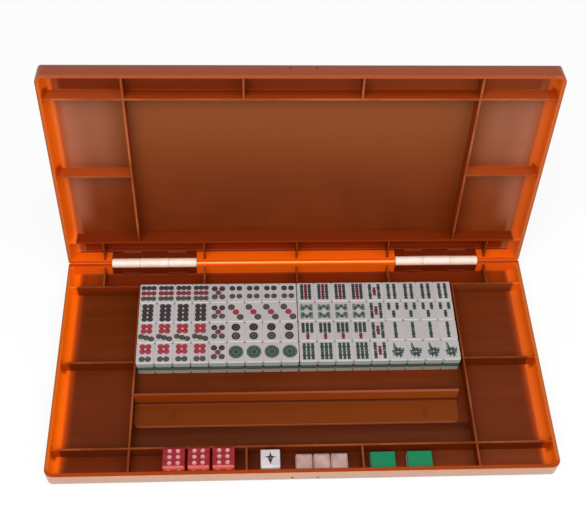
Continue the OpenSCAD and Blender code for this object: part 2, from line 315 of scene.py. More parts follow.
def tray_finish(name, leaning):
    """Amber-brown moulded plastic: a painted glow where the outer walls are thin, brown over the floor, with
    painted shade and highlights.
    """
    f = Finish(name)
    place, x, y, z = tray_places(f, leaning)
    side = HALF_W - abs(x)
    front = y + HALF_D
    rear = HALF_D - y
    beside, before = (CORNER_R - side).most(0), (CORNER_R - front).most(0)
    inset = (CORNER_R - (beside * beside + before * before).root()).least(side).least(rear)
    right = x.rise(-1, 1)

    clouds = f.noise(place, 60, detail=3)
    grain = f.noise(place, 1.1, detail=4, rough=0.6)
    streaks = f.noise(place, 5, detail=3, stretch=(0.05, 1.0, 1.0))
    scuffs = f.noise(place, 9, detail=6, rough=0.75, stretch=(1.0, 0.35, 1.0)).rise(0.62, 0.78)
    sheen_patches = f.noise(place, 30, detail=4).rise(0.35, 0.65)

    floor_colour = (lid_floor if leaning else base_floor)(f, x, y, front, clouds)
    floor_colour = f.blend(streaks.rise(0.4, 0.75) * 0.12, floor_colour, shade(140, 66, 28))

    # Ribs, with a painted highlight along their tops and painted shade on their flanks, darker low down
    above = z.rise(FLOOR + 0.2, FLOOR + 1.5)
    up_rib = z.rise(FLOOR, RIB_TOP)
    if leaning:
        # Painted shade on the flanks, darker low down and by the hinge, with a painted glow in the outer
        # cells
        flank = f.blend(up_rib, shade(122, 38, 4), shade(152, 54, 8))
        flank = f.blend(y.rise(60, 70), flank, shade(118, 38, 6))
        in_cells = abs(x).rise(MAIN_DIVIDER, MAIN_DIVIDER + 3) * y.rise(40, 30)
        flank = f.blend(in_cells, flank, shade(164, 68, 22))
        # Painted highlight along the tops, in patches, dimmer by the hinge
        top = f.blend(sheen_patches, shade(140, 66, 26), shade(172, 92, 50))
        top = f.blend(y.rise(60, 70), top, shade(136, 50, 12))
    else:
        # Painted shade on the flanks: darkest before y = 40; behind it darker low down, and the left darker
        # than the right
        left_flank = f.blend(up_rib, shade(106, 36, 4), shade(128, 46, 12))
        right_flank = f.blend(up_rib, shade(116, 46, 14), shade(134, 62, 32))
        flank = f.blend(y.rise(40, 60), shade(104, 38, 8), f.blend(right, left_flank, right_flank))
        # Painted highlight along the tops, in patches
        top = f.blend(sheen_patches, shade(112, 48, 16), shade(142, 70, 34))
    inside = f.blend(above, floor_colour, f.blend(z.rise(RIB_TOP - 0.5, RIB_TOP - 0.1), flank, top))

    # Side walls in their painted glow, with a patch of painted shade where a rib joins them
    across = [at / SIDE_REACH for at in TONE_PLACES]
    left_wall, right_wall = (
        f.ramp(side / SIDE_REACH, [(at, shade(*colour)) for at, colour in zip(across, colours)])
        for colours in (LID_SIDES if leaning else BASE_SIDES)
    )
    side_colour = f.blend(right, left_wall, right_wall)
    rib_end_shade = (above * (y.band(FRONT_RIB, 4, 4).most(y.band(0, 4, 4)))).least(side.rise(2.6, 3.4))
    side_colour = f.blend(rib_end_shade * 0.75, side_colour, shade(150, 48, 4))
    by_side = side.rise(10, 9).most(side.rise(SIDE_REACH, 12.5) * (1 - above))
    colour = f.blend(by_side, inside, side_colour)

    # Front and rear walls: a painted glow on the rear walls above their foot, the front walls duller, and
    # painted shade behind the hinges
    wall_foot = z.rise(4.0, 4.8) if leaning else z.rise(3.0, 3.8)
    by_rear = rear.rise(3.7, 3.2) * wall_foot
    by_front = front.rise(4.5, 3.3)
    colour = f.blend(by_rear, colour, shade(212, 80, 5) if leaning else shade(208, 80, 10))
    colour = f.blend(by_front, colour, shade(160, 62, 12) if leaning else shade(150, 58, 10))
    hinge_shade = rear.rise(6, 4) * abs(x).band(HINGE_X, HINGE_L, 1.0)
    colour = f.blend(hinge_shade, colour, shade(112, 32, 3))

    # Rim in a painted glow, duller on the right and at the front, with painted shade outside the hinges and a
    # painted bright line of light between the hinges where the halves meet
    rim = inset.rise(WALL + 0.05, WALL - 0.05) * z.rise(TRAY_H - 0.3, TRAY_H - 0.1)
    by_hinges = rear.rise(WALL + 0.4, WALL - 0.2)
    outside = abs(x).rise(HINGE_OUTER, HINGE_OUTER + 2)
    rim_colour = f.ramp(inset / WALL, [
        (0.0, shade(128, 72, 34)), (0.3, shade(168, 80, 24)),
        (0.6, shade(190, 84, 14)), (0.9, shade(196, 80, 4)),
    ])
    rim_colour = f.blend(right * 0.4, rim_colour, shade(160, 88, 44))
    rim_colour = f.blend(front.rise(8, 4), rim_colour, shade(168, 76, 32) if leaning else shade(150, 58, 12))
    rim_colour = f.blend(by_hinges, rim_colour, shade(212, 80, 4))
    rim_colour = f.blend(by_hinges * outside, rim_colour, shade(200, 74, 6) if leaning else shade(166, 52, 0))
    # Painted bright line of light through the gap where the halves meet, between the hinges
    seam = rear.rise(0.5, 0.3) if leaning else rear.rise(1.6, 1.2)
    seam = seam * abs(x).rise(HINGE_INNER, HINGE_INNER - 1)
    rim_colour = f.blend(seam, rim_colour, shade(255, 140, 40))
    colour = f.blend(rim, colour, rim_colour)

    # Outer skin, with painted light: a painted pale sheen on the base's skin, palest on the front, the lid's
    # greyer away from the rim, and painted shade along the seam
    skin = inset.rise(0.25, 0.1) * z.rise(TRAY_H, TRAY_H - 0.1)
    foot = z.rise(2.4, 2.2)
    if leaning:
        skin_colour = f.blend(z.rise(2, TRAY_H), shade(131, 69, 48), shade(142, 62, 26))
    else:
        skin_colour = f.blend(z.rise(0, TRAY_H), shade(188, 160, 146), shade(208, 155, 126))
        rest_colour = f.blend(z.rise(0, TRAY_H), shade(166, 112, 84), shade(186, 104, 62))
        skin_colour = f.blend(front.rise(CORNER_R + 6, CORNER_R - 3), rest_colour, skin_colour)
    # Painted shade on the skin along the seam
    by_seam = rear.rise(0.4, 0.2) * z.rise(TRAY_H - 1, TRAY_H - 0.5)
    skin_colour = f.blend(by_seam, skin_colour, shade(150, 56, 4))
    under = front.rise(3, 4) * side.rise(3, 4) * rear.rise(3, 4)
    skin_colour = f.blend(foot * under, skin_colour, shade(126, 56, 20))
    skin = skin.most(foot)
    colour = f.blend(skin, colour, skin_colour)
    colour = f.blend(scuffs * 0.05, colour, shade(235, 190, 160))

    # Painted glow: emission where light would come through the thin plastic
    lit_rim = rim * by_hinges * (1 - outside * (0.2 if leaning else 1.0))
    lit = (side.rise(9, 8) * (1 - rib_end_shade * 0.8)).most(by_rear).most(lit_rim)
    lit = lit * (1 - hinge_shade) * (1 - skin) * (1 - rim * (1 - seam) * 0.5)
    glow = f.blend(lit, (0, 0, 0, 1), f.blend(0.5, (0, 0, 0, 1), colour))
    roughness = 0.26 + 0.10 * clouds + 0.14 * scuffs + 0.05 * streaks
    height = grain * 0.5 + clouds * 0.5
    return f.surface(
        colour, roughness, f.bump(height, 0.05),
        Specular_IOR_Level=0.16 if leaning else 0.08, Emission_Color=glow, Emission_Strength=0.7,
    )


def rack_finish():
    """Darker brown moulding with sink marks along it, and painted light: lighter to the right, painted shade
    in the crease between foot and upright, painted highlights on the top edge and the front edge.
    """
    f = Finish("rack_brown")
    place = f.place()
    x, y, z = f.parts(place)
    low, high = span("tile_rack")
    along = f.noise(place, 40, detail=2, stretch=(1.0, 0.2, 0.2))
    grain = f.noise(place, 0.9, detail=3)
    left_to_right = x.rise(low.x, high.x)
    # Painted light: foot and upright each lighter to the right
    foot = f.blend(left_to_right, shade(124, 55, 12), shade(136, 64, 18))
    back = f.blend(left_to_right, shade(148, 60, 9), shade(160, 74, 24))
    colour = f.blend(z.rise(low.z + 2.6, low.z + 5), foot, back)
    # Painted shade in the crease between foot and upright
    colour = f.blend(z.band(low.z + 3.2, 1.2, 1.2), colour, shade(84, 32, 6))
    # Painted highlight along the top edge
    ridge_highlight = f.blend(left_to_right, shade(130, 60, 26), shade(148, 78, 48))
    colour = f.blend(z.rise(high.z - 0.3, high.z - 0.1), colour, ridge_highlight)
    # Painted highlight along the front edge
    colour = f.blend(y.rise(low.y + 0.7, low.y + 0.1), colour, shade(150, 84, 52))
    sinks = x.band(-104, 2, 3).most(x.band(100, 2, 3)) * y.band(low.y + 10, 6, 4)
    colour = f.blend(sinks * 0.35, colour, shade(90, 36, 12))
    roughness = 0.26 + 0.12 * along
    return f.surface(
        colour, roughness, f.bump(grain * 0.6 + along - sinks * 0.8, 0.05),
        Specular_IOR_Level=0.06,
    )


def tile_finish(name, base, shadow, edge_light, front, roughness=0.2):
    """Polished tile plastic whose tone differs a little from tile to tile. The tone for the rounded top edges
    is painted light, and front is the tone of the blocks' front, which turns warmer low down in a painted
    warm shade; on the green backs that front tone is painted shade."""
    f = Finish(name)
    place = f.place()
    x, y, z = f.parts(place)
    column = (x / TILE_PITCH.x).floor()
    row = ((y - TILE_REAR) / TILE_PITCH.y).floor()
    tone = f.node(
        "ShaderNodeTexWhiteNoise",
        {"noise_dimensions": "2D"},
        {"Vector": f.node("ShaderNodeCombineXYZ", {}, {0: column, 1: row})},
    )
    mottle = f.noise(place, 6, detail=3)
    colour = f.blend(tone * 0.6 + mottle * 0.4, shadow, base)
    # Painted light on the rounded top edges, so that they don't look dark
    colour = f.blend(z.rise(TILE_TOP - 0.03, TILE_TOP - 0.3), colour, edge_light)
    # Painted warm shade on the lower layer's front
    front = f.blend(z.rise(LOWER_FACE_TOP, LOWER_FACE_TOP - 0.4) * 0.4, front, shade(168, 132, 92))
    colour = f.blend(y.band(block_low.y, 1.2, 0.6), colour, front)
    fine = f.noise(place, 0.7, detail=2)
    return f.surface(
        colour, roughness + 0.08 * mottle, f.bump(fine * 0.4 + mottle, 0.03),
        Specular_IOR_Level=0.25,
    )


def moulded_finish(name, base, shadow, roughness, grain_size=1.0, **fixed):
    """Plain moulded or painted stuff with a slight mottle, and grain of the given size."""
    f = Finish(name)
    place = f.place()
    mottle = f.noise(place, 8 * grain_size, detail=3)
    grain = f.noise(place, grain_size, detail=3)
    colour = f.blend(mottle.rise(0.3, 0.7), shadow, base)
    return f.surface(colour, roughness + 0.08 * mottle, f.bump(grain, 0.03 * grain_size), **fixed)


def hinge_finish(name, inner, leaning):
    """White hinge plastic. The tab ends inside the tray are painted in the tray's dark colour: painted shade.
    """
    f = Finish(name)
    place, _, y, z = tray_places(f, leaning)
    mottle = f.noise(place, 8, detail=3)
    colour = f.blend(mottle.rise(0.3, 0.7), shade(242, 212, 196), shade(253, 226, 211))
    # Painted shade on the tab ends inside the tray
    colour = f.blend((HALF_D - y).rise(2.2, 2.8) * z.rise(8, 7), colour, inner)
    return f.surface(colour, 0.35 + 0.08 * mottle, f.bump(f.noise(place, 1, detail=3), 0.03))


def steel_finish():
    f = Finish("pin_wire")
    place = f.place()
    drawn = f.noise(place, 0.5, detail=3, stretch=(0.05, 1.0, 1.0))
    colour = f.blend(drawn, shade(150, 150, 154), shade(205, 205, 208))
    return f.surface(colour, 0.28 + 0.2 * drawn, f.bump(drawn, 0.01), Metallic=1.0)


def die_finish():
    """Clear red die plastic, with painted light: brighter on its sides below the top face, and a painted
    highlight on its front face.
    """
    f = Finish("die_red")
    place = f.place()
    _, y, z = f.parts(place)
    low, high = span("left_die")
    mottle = f.noise(place, 5, detail=2)
    edge = z.rise(high.z - 1.4, high.z - 0.3)
    colour = f.blend(mottle.rise(0.3, 0.7), shade(122, 10, 20), shade(146, 20, 30))
    # Painted light: brighter on the sides below the top face
    colour = f.blend((1 - edge) * 0.6, colour, shade(186, 32, 36))
    # Painted highlight on the front face
    colour = f.blend(y.rise(low.y + 1.6, low.y + 0.5), colour, shade(214, 76, 64))
    return f.surface(
        colour, 0.14 + 0.08 * mottle, f.bump(mottle, 0.03),
        Specular_IOR_Level=0.35, Coat_Weight=0.1, Coat_Roughness=0.1,
    )


FINISHES = {
    "tray_base": tray_finish("tray_amber_base", leaning=False),
    "tray_lid": tray_finish("tray_amber_lid", leaning=True),
    "rack": rack_finish(),
    "tile_face": tile_finish(
        "tile_white", shade(179, 173, 174), shade(166, 161, 162), shade(204, 199, 200), shade(178, 182, 178)
    ),
    "tile_back": tile_finish(
        "tile_green", shade(14, 126, 82), shade(4, 108, 68), shade(10, 118, 76), shade(66, 84, 70)
    ),
    "hinge_base": hinge_finish("hinge_white_base", shade(112, 36, 8), leaning=False),
    "hinge_lid": hinge_finish("hinge_white_lid", shade(146, 60, 30), leaning=True),
    "steel": steel_finish(),
    "die": die_finish(),
    "cube": moulded_finish("cube_white", shade(198, 192, 193), shade(186, 178, 181), 0.25),
    "blank": moulded_finish("blank_frosted", shade(190, 157, 151), shade(162, 129, 123), 0.5, 1.4,
                            Subsurface_Weight=0.5, Subsurface_Scale=0.004),
    "white": moulded_finish("paint_white", shade(200, 142, 140), shade(184, 122, 122), 0.45, 0.3),
}

# Light and dark tone of each paint
PAINTS = {
    "black": ((26, 16, 20), (16, 10, 14)),
    "black_pale": ((74, 58, 64), (58, 44, 50)),
    "red": ((142, 16, 36), (122, 10, 28)),
    "maroon": ((112, 22, 34), (92, 14, 26)),
    "maroon_pale": ((138, 50, 62), (120, 36, 48)),
    "olive": ((46, 44, 36), (34, 34, 26)),
    "olive_pale": ((92, 88, 78), (78, 76, 66)),
    "red_pale": ((170, 60, 74), (152, 46, 58)),
    "green": ((34, 58, 46), (22, 44, 34)),
    "green_pale": ((92, 110, 96), (76, 96, 82)),
    "feather": ((140, 150, 140), (122, 134, 124)),
}
for paint_name, (light, dark) in PAINTS.items():
    FINISHES[paint_name] = moulded_finish("paint_" + paint_name, shade(*light), shade(*dark), 0.5, 0.3)

NODE_FINISH = {"base_tray": "tray_base", "lid_tray": "tray_lid", "tile_rack": "rack", "wind_cube": "cube"}
for node_name in frame["nodes"]:
    for word, finish_name in (
        ("base_leaf", "hinge_base"), ("lid_leaf", "hinge_lid"), ("pin", "steel"),
        ("tile_face", "tile_face"), ("tile_back", "tile_back"), ("_die", "die"), ("_blank", "blank"),
    ):
        if word in node_name:
            NODE_FINISH[node_name] = finish_name

for node_name, node_object in frame["nodes"].items():
    node_object.data.materials.clear()
    node_object.data.materials.append(FINISHES[NODE_FINISH[node_name]])


# Marks: thin inlays stamped on points by one node group

def prism(name, outline, thickness):
    """A flat closed shape standing on z = 0, from an outline in millimetres."""
    mesh = bpy.data.meshes.new(name)
    bm = bmesh.new()
    foot = [bm.verts.new((x * MM, y * MM, 0)) for x, y in outline]
    head = [bm.verts.new((x * MM, y * MM, thickness * MM)) for x, y in outline]
    bm.faces.new(list(reversed(foot)))
    bm.faces.new(head)
    for i in range(len(outline)):
        j = (i + 1) % len(outline)
        bm.faces.new([foot[i], foot[j], head[j], head[i]])
    bm.to_mesh(mesh)
    bm.free()
    stamp = bpy.data.objects.new(name, mesh)
    bpy.context.scene.collection.objects.link(stamp)
    return stamp


def stamp_group():
    """Puts a stamp on every point, turned and sized by the points' own attributes."""
    group = bpy.data.node_groups.new("stamp_on_points", "GeometryNodeTree")
    face = group.interface
    for name, kind, way in (
        ("Points", "NodeSocketGeometry", "INPUT"), ("Stamp", "NodeSocketObject", "INPUT"),
        ("Paint", "NodeSocketMaterial", "INPUT"), ("Marks", "NodeSocketGeometry", "OUTPUT"),
    ):
        face.new_socket(name, in_out=way, socket_type=kind)
    new, link = group.nodes.new, group.links.new
    given = new("NodeGroupInput")
    stamp = new("GeometryNodeObjectInfo")
    stamp.inputs["As Instance"].default_value = True
    turn = new("GeometryNodeInputNamedAttribute")
    turn.data_type = "FLOAT_VECTOR"
    turn.inputs["Name"].default_value = "turn"
    size = new("GeometryNodeInputNamedAttribute")
    size.data_type = "FLOAT_VECTOR"
    size.inputs["Name"].default_value = "size"
    dots = new("GeometryNodeMeshToPoints")
    lay = new("GeometryNodeInstanceOnPoints")
    real = new("GeometryNodeRealizeInstances")
    paint = new("GeometryNodeSetMaterial")
    made = new("NodeGroupOutput")
    link(given.outputs["Points"], dots.inputs["Mesh"])
    link(given.outputs["Stamp"], stamp.inputs["Object"])
    link(dots.outputs["Points"], lay.inputs["Points"])
    link(stamp.outputs["Geometry"], lay.inputs["Instance"])
    link(turn.outputs["Attribute"], lay.inputs["Rotation"])
    link(size.outputs["Attribute"], lay.inputs["Scale"])
    link(lay.outputs["Instances"], real.inputs["Geometry"])
    link(real.outputs["Geometry"], paint.inputs["Geometry"])
    link(given.outputs["Paint"], paint.inputs["Material"])
    link(paint.outputs["Geometry"], made.inputs["Marks"])
    return group


STAMPING = stamp_group()


def stamp_marks(name, stamp, places, finish_name, body):
    """One mesh of a stamp laid at places, each (point, turns about X, Y and Z, scale)."""
    cloud = bpy.data.meshes.new(name + "_points")
    cloud.from_pydata([tuple(Vector(p) * MM) for p, _, _ in places], [], [])
    for attribute, column in (("turn", 1), ("size", 2)):
        values = cloud.attributes.new(attribute, "FLOAT_VECTOR", "POINT")
        for i, place in enumerate(places):
            values.data[i].vector = place[column]
    carrier = bpy.data.objects.new(name + "_carrier", cloud)
    bpy.context.scene.collection.objects.link(carrier)
    modifier = carrier.modifiers.new("marks", "NODES")
    modifier.node_group = STAMPING
    sockets = {s.name: s.identifier for s in STAMPING.interface.items_tree if s.in_out == "INPUT"}
    modifier[sockets["Stamp"]] = stamp
    modifier[sockets["Paint"]] = FINISHES[finish_name]
    bpy.context.view_layer.update()
    graph = bpy.context.evaluated_depsgraph_get()
    mesh = bpy.data.meshes.new_from_object(carrier.evaluated_get(graph), depsgraph=graph)
    carrier.modifiers.clear()
    bpy.data.objects.remove(carrier)
    piece = bpy.data.objects.new(name, mesh)
    bpy.context.scene.collection.objects.link(piece)
    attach(piece, body)
    return piece


def ring_outline(radius, corners=28):
    return [
        (radius * math.cos(2 * math.pi * i / corners), radius * math.sin(2 * math.pi * i / corners))
        for i in range(corners)
    ]


def stick_outline(length=5.4, width=3.3, steps=12):
    """A bamboo stick: three knots with waists between them."""
    right = []
    for i in range(steps + 1):
        t = i / steps
        knot = 0.5 + 0.5 * math.cos(4 * math.pi * t)
        taper = 0.72 if i in (0, steps) else 1.0
        right.append((width / 2 * (0.66 + 0.34 * knot) * taper, length * (t - 0.5)))
    return right + [(-x, y) for x, y in reversed(right)]


def bird_outline():
    """A plain little bird: tail up, wings spread, two feet."""
    return [
        (-4.7, -0.2), (-3.6, 0.5), (-2.4, 0.7), (-3.2, 2.8), (-2.6, 6.0), (-1.8, 4.6), (-0.9, 2.4),
        (0.3, 1.5), (1.0, 2.3), (1.9, 2.3), (2.3, 1.1), (3.4, 1.9), (4.5, 1.6), (3.6, 0.6), (4.8, 0.2),
        (3.4, -0.5),
        (3.9, -1.8), (2.5, -1.6), (2.4, -2.6), (3.5, -4.0), (1.8, -3.3), (1.2, -5.0), (0.5, -3.2),
        (-0.4, -3.0), (-1.4, -4.6), (-1.8, -2.8), (-3.9, -3.0), (-2.9, -1.6), (-4.4, -1.5), (-3.4, -0.8),
    ]


# Marks are MARK_T thick and half sunk; what lies over another mark stands LAYER higher
MARK_T = 0.04
LAYER = 0.02


def tile_centre(side, column, row):
    """Middle of a tile's face. Columns count from the left of the block, rows from the back."""
    left = span("dot_tile_faces" if side < 0 else "bamboo_tile_faces")[0].x - TILE_GAP / 2
    return Vector((
        left + (column + 0.5) * TILE_PITCH.x,
        TILE_REAR - (row + 0.5) * TILE_PITCH.y,
        TILE_TOP,
    ))


BLACK, RED, MAROON, GREEN, OLIVE, PALE = "black", "red", "maroon", "green", "olive", "green_pale"
# Dots of one tile: (x, y, radius, paint), seen with the tile's foot towards the front wall
NINE = [(x, y, 2.3, p) for y, p in ((5.6, BLACK), (0.2, MAROON), (-5.2, OLIVE)) for x in (-4.2, 0, 4.2)]
EIGHT = [(x, y, 2.45, BLACK) for y in (6.4, 2.1, -2.1, -6.4) for x in (-2.4, 2.4)]
SQUARE = [(x, y, 2.5, RED) for y in (6.2, 1.6) for x in (-2.4, 2.4)]
SEVEN = SQUARE + [(x, y, 2.5, OLIVE) for x, y in ((-4.3, -3.6), (0, -4.8), (4.3, -6.0))]
SIX = SQUARE + [(x, -5.6, 2.5, OLIVE) for x in (-2.5, 2.5)]
FIVE = [(0, 0.2, 2.4, MAROON)]
FIVE += [(x, y, 2.6, BLACK if y > 0 else OLIVE) for x in (-3.2, 3.2) for y in (4.4, -4.0)]
FOUR = [(x, y, 2.5, BLACK if y > 0 else OLIVE) for x in (-3.0, 3.0) for y in (4.6, -3.6)]
THREE = [(-3.8, 5.0, 2.9, OLIVE), (0, 0, 2.7, RED), (3.7, -5.0, 2.9, OLIVE)]
TWO = [(0, 4.6, 3.7, BLACK), (0, -4.0, 3.7, OLIVE)]
ONE = [(0, 0.3, 6.1, GREEN)]
DOT_ROWS = [[NINE, FIVE, FOUR], [EIGHT, FIVE, THREE], [SEVEN, FIVE, TWO], [SIX, FIVE, ONE]]


def suit_at(rows, column, row):
    """The drawing in one of the block's columns: four alike, one of fives, four alike."""
    return rows[row][0 if column < FIVES_COLUMN else 1 if column == FIVES_COLUMN else 2]


def dot_marks():
    """Each dot is a painted disc, a paler ring and a painted heart."""
    disc = prism("disc_stamp", ring_outline(1.0), MARK_T)
    layers = {}
    for column in range(TILE_COLS):
        for row in range(TILE_ROWS):
            middle = tile_centre(-1, column, row)
            for x, y, radius, paint in suit_at(DOT_ROWS, column, row):
                pale = paint + "_pale"
                rings = [(1.0, paint), (0.56, pale), (0.30, paint)]
                if radius > 5:
                    rings = [(1.0, paint), (0.86, pale), (0.76, paint), (0.48, pale), (0.34, paint)]
                for level, (share, finish_name) in enumerate(rings):
                    lift = Vector((x, y, level * LAYER - MARK_T / 2))
                    scale = (radius * share, radius * share, 1)
                    layers.setdefault(finish_name, []).append((middle + lift, (0, 0, 0), scale))
    for finish_name, places in layers.items():
        stamp_marks("dot_" + finish_name, disc, places, finish_name, "dot_tiles")
    bpy.data.objects.remove(disc)


# Sticks of one tile: (x, y, length share, turn in degrees, paint)
LEAN = 34
STICK_NINE = [(x, y, 1.0, 0, MAROON if x == 0 else GREEN) for x in (-3.3, 0, 3.3) for y in (5.6, 0.3, -5.0)]
STICK_EIGHT = [(x, y, 1.2, 0, PALE) for x in (-3.9, 3.9) for y in (3.8, -4.0)]
STICK_EIGHT += [
    (way * 1.5, y, 1.0, way * up * LEAN, PALE) for way in (-1, 1) for y, up in ((4.0, 1), (-4.2, -1))
]
STICK_SEVEN = [(x, y, 0.95, 0, GREEN) for x in (-3.6, 0, 3.6) for y in (5.6, 0.7)]
STICK_SEVEN += [(0, -5.2, 1.1, 0, MAROON)]
STICK_SIX = [(x, y, 1.45, 0, GREEN) for x in (-3.5, 0, 3.5) for y in (4.0, -4.0)]
STICK_FIVE = [(x, y, 1.4, 0, GREEN) for x in (-3.8, 3.8) for y in (4.0, -4.0)]
STICK_FIVE += [(0, 0, 1.6, 0, MAROON)]
STICK_FOUR = [(x, y, 1.45, 0, GREEN) for x in (-2.6, 2.6) for y in (4.0, -4.0)]
STICK_THREE = [(-3.6, 4.2, 1.3, 0, GREEN), (3.6, 4.2, 1.3, 0, GREEN), (0, -3.6, 1.3, 0, GREEN)]
STICK_TWO = [(0, y, 1.45, 0, GREEN) for y in (4.0, -4.0)]
STICK_ROWS = [
    [STICK_NINE, STICK_FIVE, STICK_FOUR], [STICK_EIGHT, STICK_FIVE, STICK_THREE],
    [STICK_SEVEN, STICK_FIVE, STICK_TWO], [STICK_SIX, STICK_FIVE, []],
]


def bamboo_marks():
    stick = prism("stick_stamp", stick_outline(), MARK_T)
    layers = {}
    for column in range(TILE_COLS):
        for row in range(TILE_ROWS):
            middle = tile_centre(1, column, row)
            for x, y, share, turn, paint in suit_at(STICK_ROWS, column, row):
                lift = Vector((x, y, -MARK_T / 2))
                layers.setdefault(paint, []).append(
                    (middle + lift, (0, 0, math.radians(turn)), (1, share, 1))
                )
    for finish_name, places in layers.items():
        stamp_marks("bamboo_" + finish_name, stick, places, finish_name, "bamboo_tiles")
    bpy.data.objects.remove(stick)


# Pale feathers on a bird: (place, scale, turn in degrees)
FEATHERS = [
    ((0.1, -1.6), (1.6, 1.1, 1), 0), ((-2.5, -1.6), (1.3, 0.5, 1), 12), ((-2.6, -2.9), (1.1, 0.45, 1), -8),
    ((3.4, 0.7), (1.3, 0.5, 1), 14), ((3.0, -1.7), (1.0, 0.45, 1), -20), ((-2.6, 3.6), (0.5, 2.2, 1), 8),
    ((0.6, -4.9), (1.0, 0.5, 1), 0),
]


def bird_marks():
    """The four birds of the front row's right end."""
    bird = prism("bird_stamp", bird_outline(), MARK_T)
    feather = prism("feather_stamp", ring_outline(0.7, 16), MARK_T)
    middles = [tile_centre(1, column, TILE_ROWS - 1) for column in range(FIVES_COLUMN + 1, TILE_COLS)]
    places = [(middle + Vector((0.2, -0.8, -MARK_T / 2)), (0, 0, 0), (1.2, 1.45, 1)) for middle in middles]
    stamp_marks("bamboo_birds", bird, places, GREEN, "bamboo_tiles")
    places = [
        (middle + Vector((*spot, LAYER - MARK_T / 2)), (0, 0, math.radians(turn)), size)
        for middle in middles for spot, size, turn in FEATHERS
    ]
    stamp_marks("bamboo_bird_feathers", feather, places, "feather", "bamboo_tiles")
    bpy.data.objects.remove(bird)
    bpy.data.objects.remove(feather)


PIP_BALL_R = 2.6
PIP_SPREAD = 4.0
PIP_SUNK = 0.04
SIX_PIPS = [(0.8 * x, 1.25 * y) for x in (-1, 1) for y in (-1, 0, 1)]
TWO_PIPS = [(-1, -1), (1, 1)]
THREE_PIPS = TWO_PIPS + [(0, 0)]
FOUR_PIPS = [(x, y) for x in (-1, 1) for y in (-1, 1)]
FIVE_PIPS = FOUR_PIPS + [(0, 0)]
# Turn that brings each side of a die to the top, and the pips on it
DIE_SIDES = [
    ((0, 0, 0), SIX_PIPS), ((90, 0, 0), FIVE_PIPS), ((0, 90, 0), THREE_PIPS),
    ((0, -90, 0), FOUR_PIPS), ((-90, 0, 0), TWO_PIPS), ((180, 0, 0), [(0, 0)]),
]


def pip_dish(radius=PIP_BALL_R, depth=0.63, rings=4, corners=20):
    """Paint that lines a pip: a shallow dish with a closed underside, its brim on z = 0."""
    bm = bmesh.new()
    brim = math.sqrt(radius ** 2 - (radius - depth) ** 2)
    rows = []
    for skin in (0.0, -0.05):
        centre = bm.verts.new((0, 0, (skin - depth) * MM))
        loops = []
        for k in range(1, rings + 1):
            r = brim * k / rings
            height = radius - depth - math.sqrt(radius ** 2 - r ** 2)
            loops.append([
                bm.verts.new((
                    r * math.cos(2 * math.pi * i / corners) * MM,
                    r * math.sin(2 * math.pi * i / corners) * MM,
                    (height + skin) * MM,
                ))
                for i in range(corners)
            ])
        rows.append((centre, loops))
    for (centre, loops), flip in zip(rows, (False, True)):
        for i in range(corners):
            j = (i + 1) % corners
            fan = [centre, loops[0][i], loops[0][j]]
            bm.faces.new(fan[::-1] if flip else fan)
            for inner, outer in zip(loops, loops[1:]):
                quad = [inner[i], outer[i], outer[j], inner[j]]
                bm.faces.new(quad[::-1] if flip else quad)
    for i in range(corners):
        j = (i + 1) % corners
        top, under = rows[0][1][-1], rows[1][1][-1]
        bm.faces.new([top[i], under[i], under[j], top[j]])
    mesh = bpy.data.meshes.new("pip_stamp")
    bm.to_mesh(mesh)
    bm.free()
    for polygon in mesh.polygons:
        polygon.use_smooth = True
    dish = bpy.data.objects.new("pip_stamp", mesh)
    bpy.context.scene.collection.objects.link(dish)
    return dish


def die_pips():
    dish = pip_dish()
    for node in ("left_die", "middle_die", "right_die"):
        low, high = span(node)
        middle = (low + high) / 2
        half = (high.z - low.z) / 2
        places = []
        for turns, pips in DIE_SIDES:
            turns = tuple(math.radians(t) for t in turns)
            about_x, about_y, about_z = (Matrix.Rotation(turn, 3, axis) for turn, axis in zip(turns, "XYZ"))
            for x, y in pips:
                spot = about_z @ about_y @ about_x @ Vector((x * PIP_SPREAD, y * PIP_SPREAD, half - PIP_SUNK))
                places.append((middle + spot, turns, (1, 1, 1)))
        stamp_marks(node + "_pips", dish, places, "white", node)
    bpy.data.objects.remove(dish)


def cube_mark():
    """A plain compass arrow over a star, on the cube's top."""
    low, high = span("wind_cube")
    middle = Vector(((low.x + high.x) / 2, (low.y + high.y) / 2, high.z))
    arrow = prism("arrow_stamp", [(0, -4.4), (1.5, 0.2), (0.0, -0.5), (-1.5, 0.2)], MARK_T)
    star = prism("star_stamp", [
        (0, 3.6), (0.7, 0.9), (3.4, 0.2), (0.9, -0.5), (-0.9, -0.5), (-3.4, 0.2), (-0.7, 0.9),
    ], MARK_T)
    spot = middle + Vector((0, 0.3, -MARK_T / 2))
    for name, stamp, lift in (("cube_arrow", arrow, 0.0), ("cube_star", star, 0.5)):
        places = [(spot + Vector((0, lift, 0)), (0, 0, 0), (1.35, 1.3, 1))]
        stamp_marks(name, stamp, places, BLACK, "wind_cube")
    bpy.data.objects.remove(arrow)
    bpy.data.objects.remove(star)


# Ends, outward reach and rise of a strip of painted shade along the base's rim at the seam
SEAM_STRIP_ENDS = (HINGE_OUTER + 0.2, HALF_W - 1.2)
SEAM_STRIP_OUT = 0.13
SEAM_STRIP_UP = 0.06


